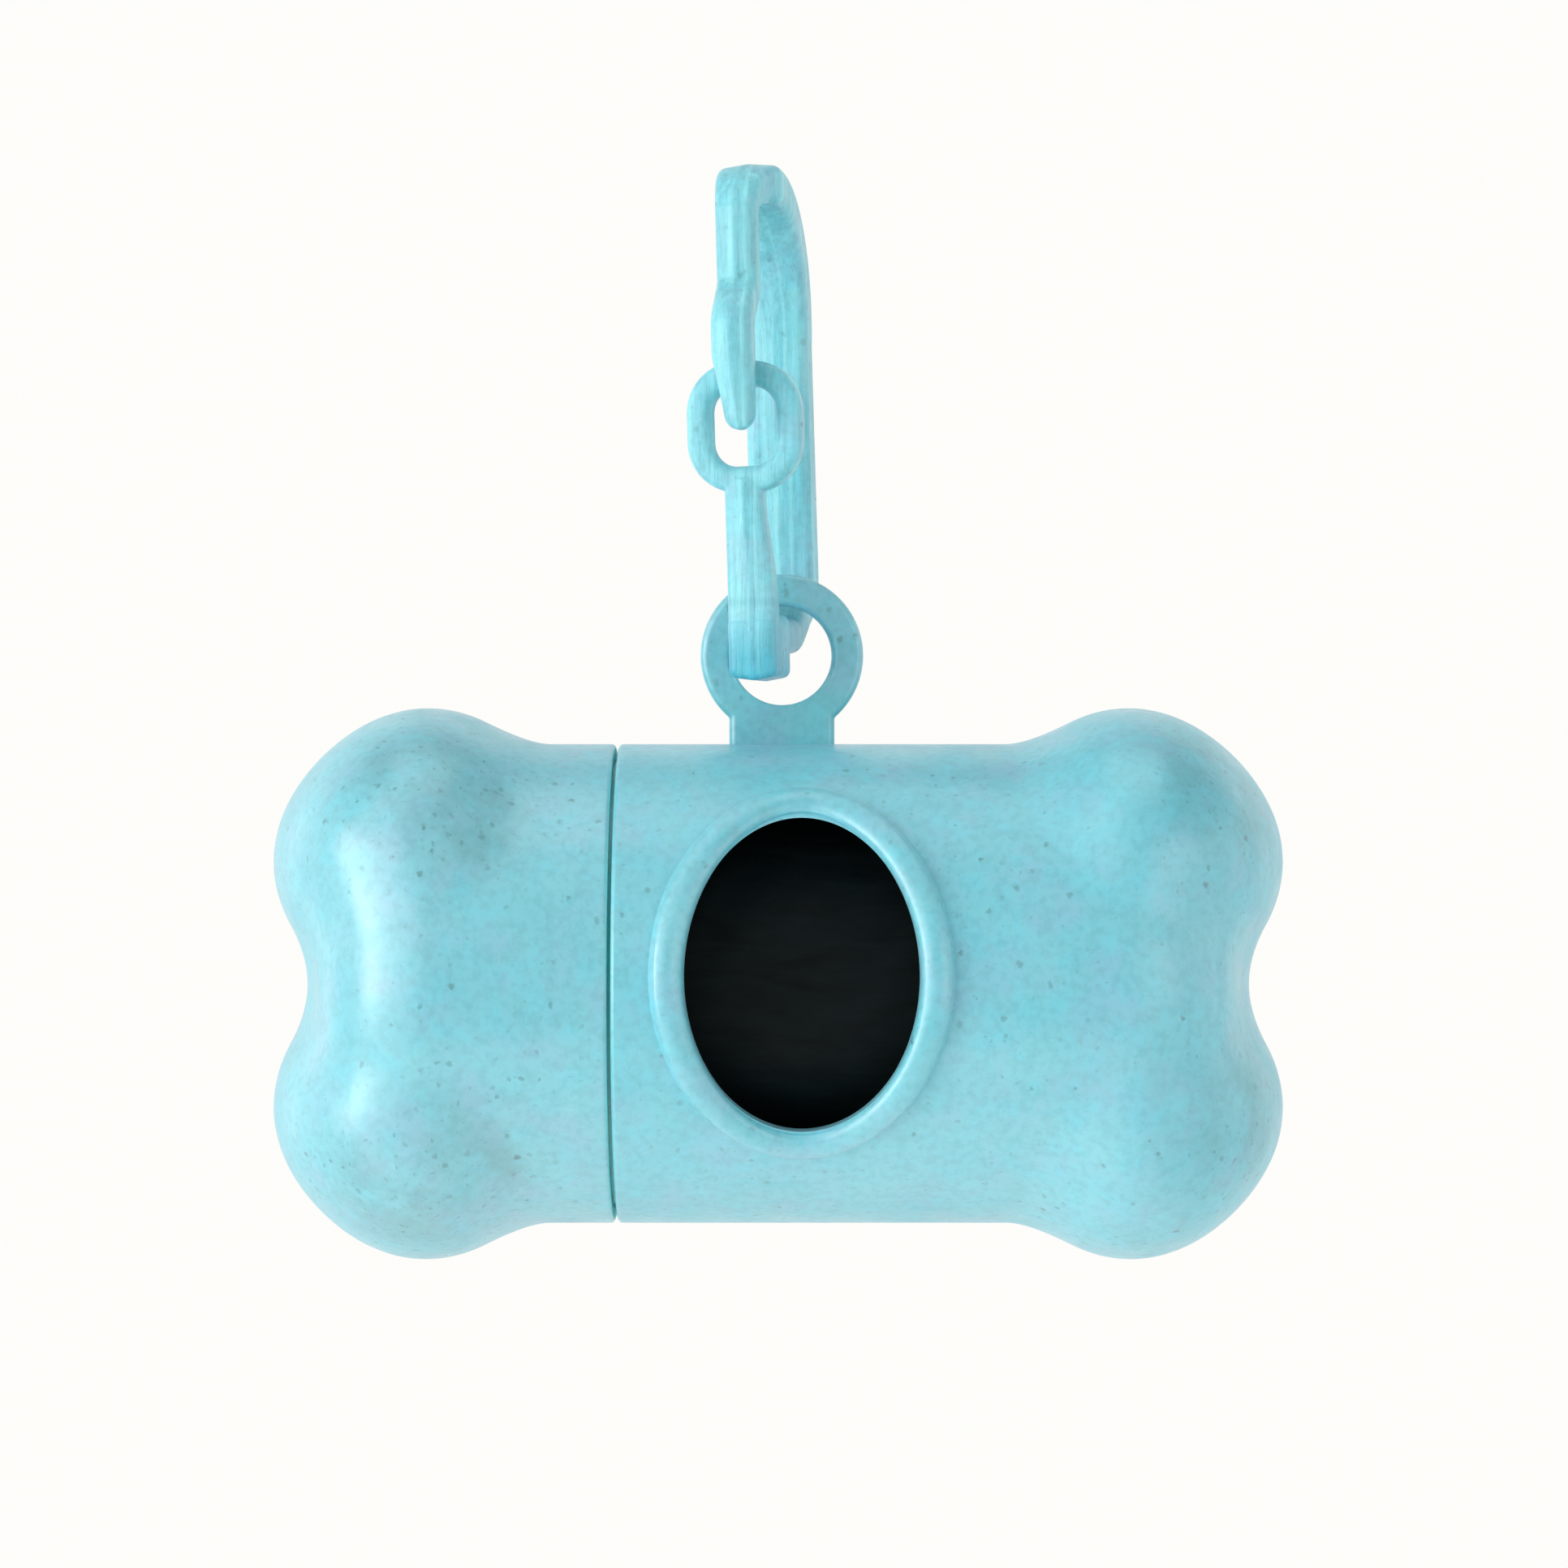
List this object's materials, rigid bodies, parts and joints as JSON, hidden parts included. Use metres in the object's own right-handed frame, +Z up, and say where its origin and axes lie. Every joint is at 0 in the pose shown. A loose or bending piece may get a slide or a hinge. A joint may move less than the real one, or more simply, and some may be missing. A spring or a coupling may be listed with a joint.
{
  "type": "waste bag dispenser",
  "caption": "Bone-shaped dispenser for a roll of dog waste bags, with an oval window, a pull-off end cap, a ring on top and a moulded snap clip for a leash.",
  "frame": {"origin": "inside top of the clip, where the leash loop sits", "axes": "+Z up, +X along the bone from the cap to the closed end, -Y towards the bag window"},
  "size_m": [0.0842, 0.041, 0.091],
  "materials": {
    "speckled_plastic": "satin, with fine dark specks",
    "speckled_plastic_cap": "satin, with fine dark specks",
    "clip_plastic": "satin, with fine dark specks",
    "black_film": "thin film wound in a roll, softly creased",
    "core_board": "matt spiral-wound board"
  },
  "bodies": {
    "clip": {"clip_hook": "clip_plastic"},
    "gate": {"clip_gate": "clip_plastic"},
    "bone": {"body_shell": "speckled_plastic", "hang_ring": "speckled_plastic"},
    "cap": {"end_cap": "speckled_plastic_cap"},
    "bag_roll": {"bag_film": "black_film", "roll_core": "core_board"}
  },
  "joints": [
    {"name": "gate_flex", "type": "hinge", "parent": "clip", "child": "gate", "pos_m": [0.00042, -0.00244, -0.0332], "axis": [-0.9739, 0.225, -0.0289], "range_deg": [0, 20], "stiffness_Nm_per_rad": 0.15, "springref_deg": -1.72},
    {"name": "bone_swing", "type": "hinge", "parent": "clip", "child": "bone", "pos_m": [0.00304, 0.00429, -0.03705], "axis": [0, 1, 0], "range_deg": [-80, 80]},
    {"name": "cap_off", "type": "slide", "parent": "bone", "child": "cap", "axis": [-1, 0, 0], "range_m": [0, 0.045]},
    {"name": "roll_turn", "type": "hinge", "parent": "bone", "child": "bag_roll", "pos_m": [0.00274, 0.00429, -0.06475], "axis": [1, 0, 0], "continuous": true}
  ]
}
